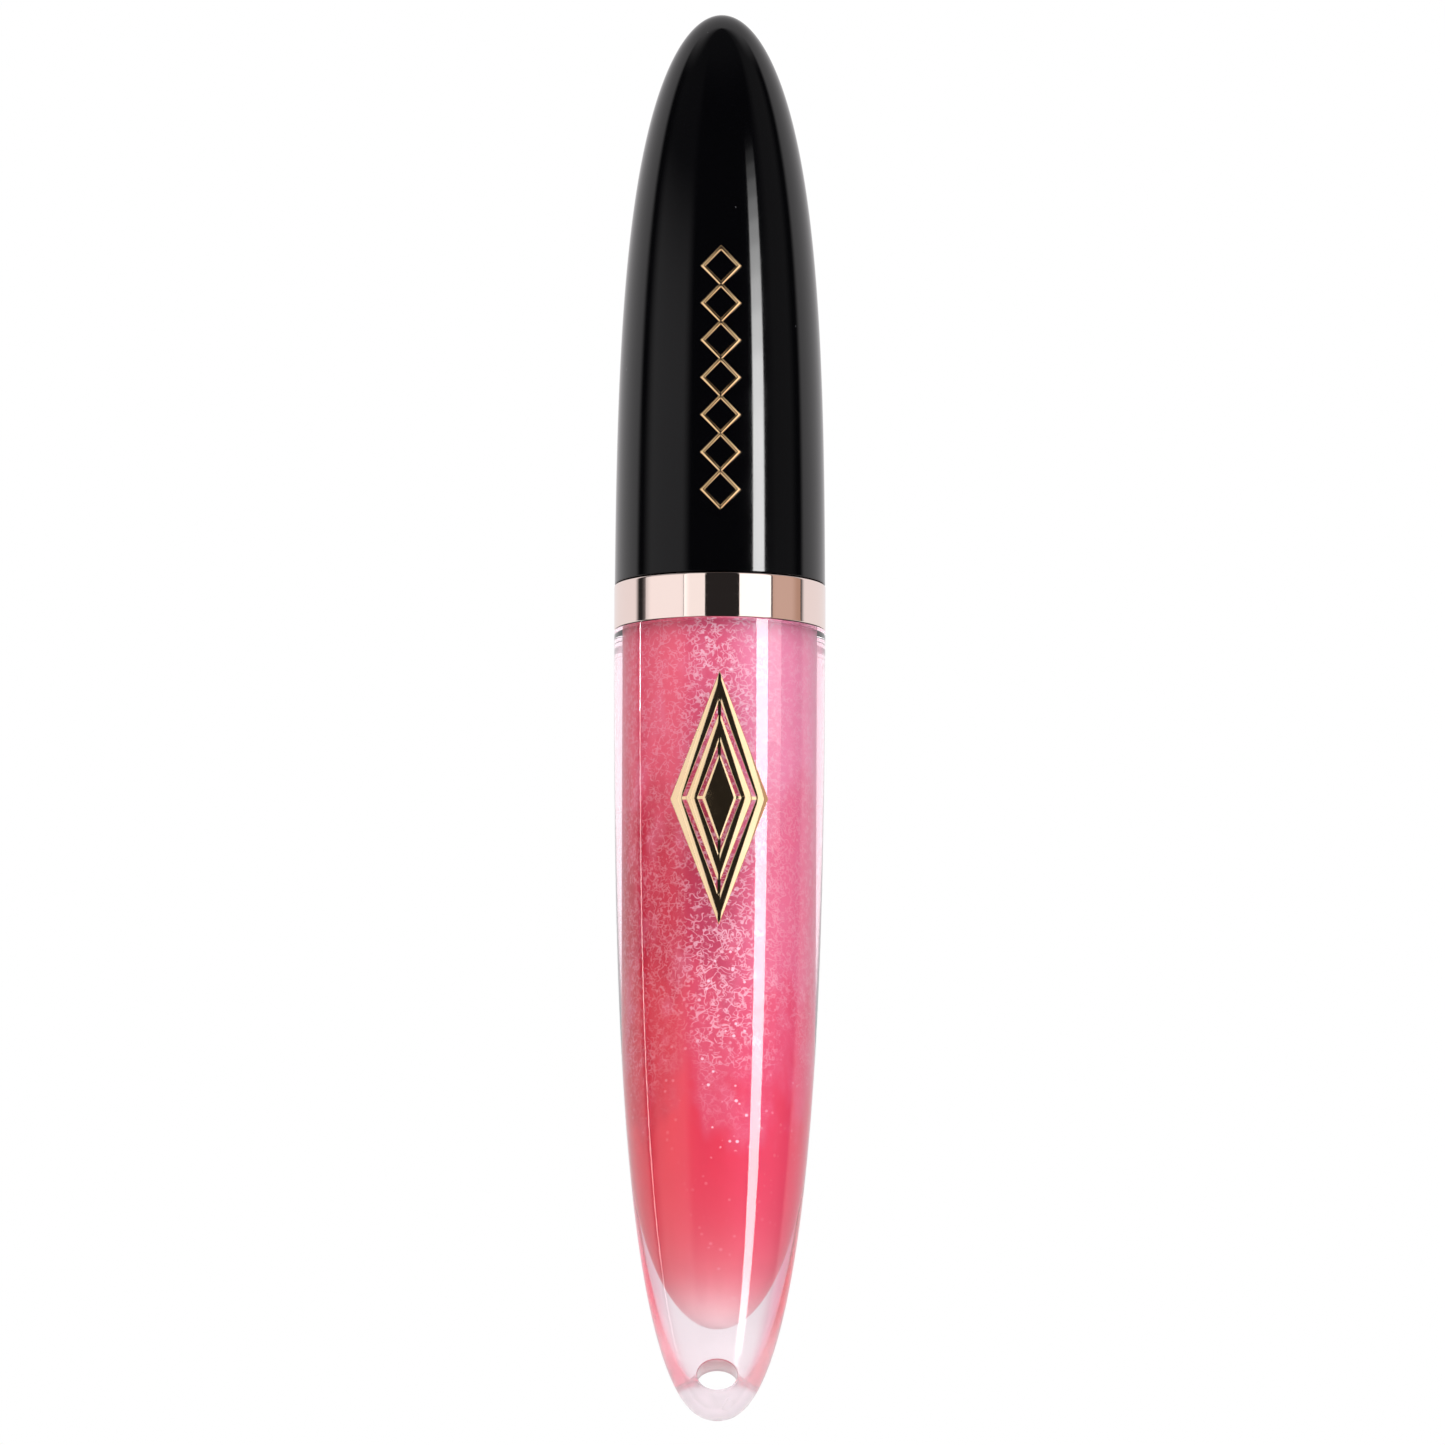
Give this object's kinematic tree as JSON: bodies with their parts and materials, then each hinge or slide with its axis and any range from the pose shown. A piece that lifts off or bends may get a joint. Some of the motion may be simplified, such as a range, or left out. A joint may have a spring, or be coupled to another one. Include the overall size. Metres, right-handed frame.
{
  "type": "lip gloss tube",
  "caption": "Bullet-shaped lip gloss tube: clear vial with a rose-gold screw neck, and a tall glossy cap that carries the wand and its flocked tip.",
  "frame": {"origin": "on the tube's axis at the tip of the vial's nose", "axes": "+Z along the tube's axis from the vial's nose to the cap's tip, -Y towards the foil motifs and the wand's slanted face"},
  "size_m": [0.019, 0.0191, 0.1275],
  "materials": {
    "clear_plastic": "polished clear plastic",
    "rose_gold": "rose-gold mirror plating on plastic",
    "foil": "polished pale gold foil",
    "soft_white": "soft translucent white plastic",
    "gloss": "thick coral-pink liquid with fine shimmer",
    "black_gloss": "piano-black high gloss",
    "black_plastic": "plain black, as moulded",
    "core_plastic": "flexible plastic",
    "flock": "short velvety pile, stained by the gloss",
    "liner_foam": "foamed white sheet"
  },
  "bodies": {
    "vial": {"vial_body": "clear_plastic", "neck_collar": "rose_gold", "wiper": "soft_white", "vial_ornament": "foil"},
    "gloss": {"gloss_fill": "gloss"},
    "liner": {"seal_liner": "liner_foam"},
    "cap": {"cap_shell": "black_gloss", "cap_insert": "black_plastic", "cap_ornament": "foil", "wand_stem": "black_gloss", "applicator_core": "core_plastic", "applicator_flock": "flock"}
  },
  "joints": [
    {"name": "cap_turn", "type": "hinge", "parent": "vial", "child": "gloss", "pos_m": [0, 0, 0.0755], "axis": [0, 0, 1], "range_deg": [0, 380]},
    {"name": "wand_withdraw", "type": "slide", "parent": "gloss", "child": "liner", "axis": [0, 0, 1], "range_m": [0, 0.08], "deforming": ["wiper"]},
    {"name": "cap_rise", "type": "slide", "parent": "liner", "child": "cap", "axis": [0, 0, 1], "range_m": [0, 0.0052]}
  ],
  "couplings": [
    {"joint": "cap_rise", "follows": "cap_turn", "m_per_rad": 0.00077986}
  ]
}
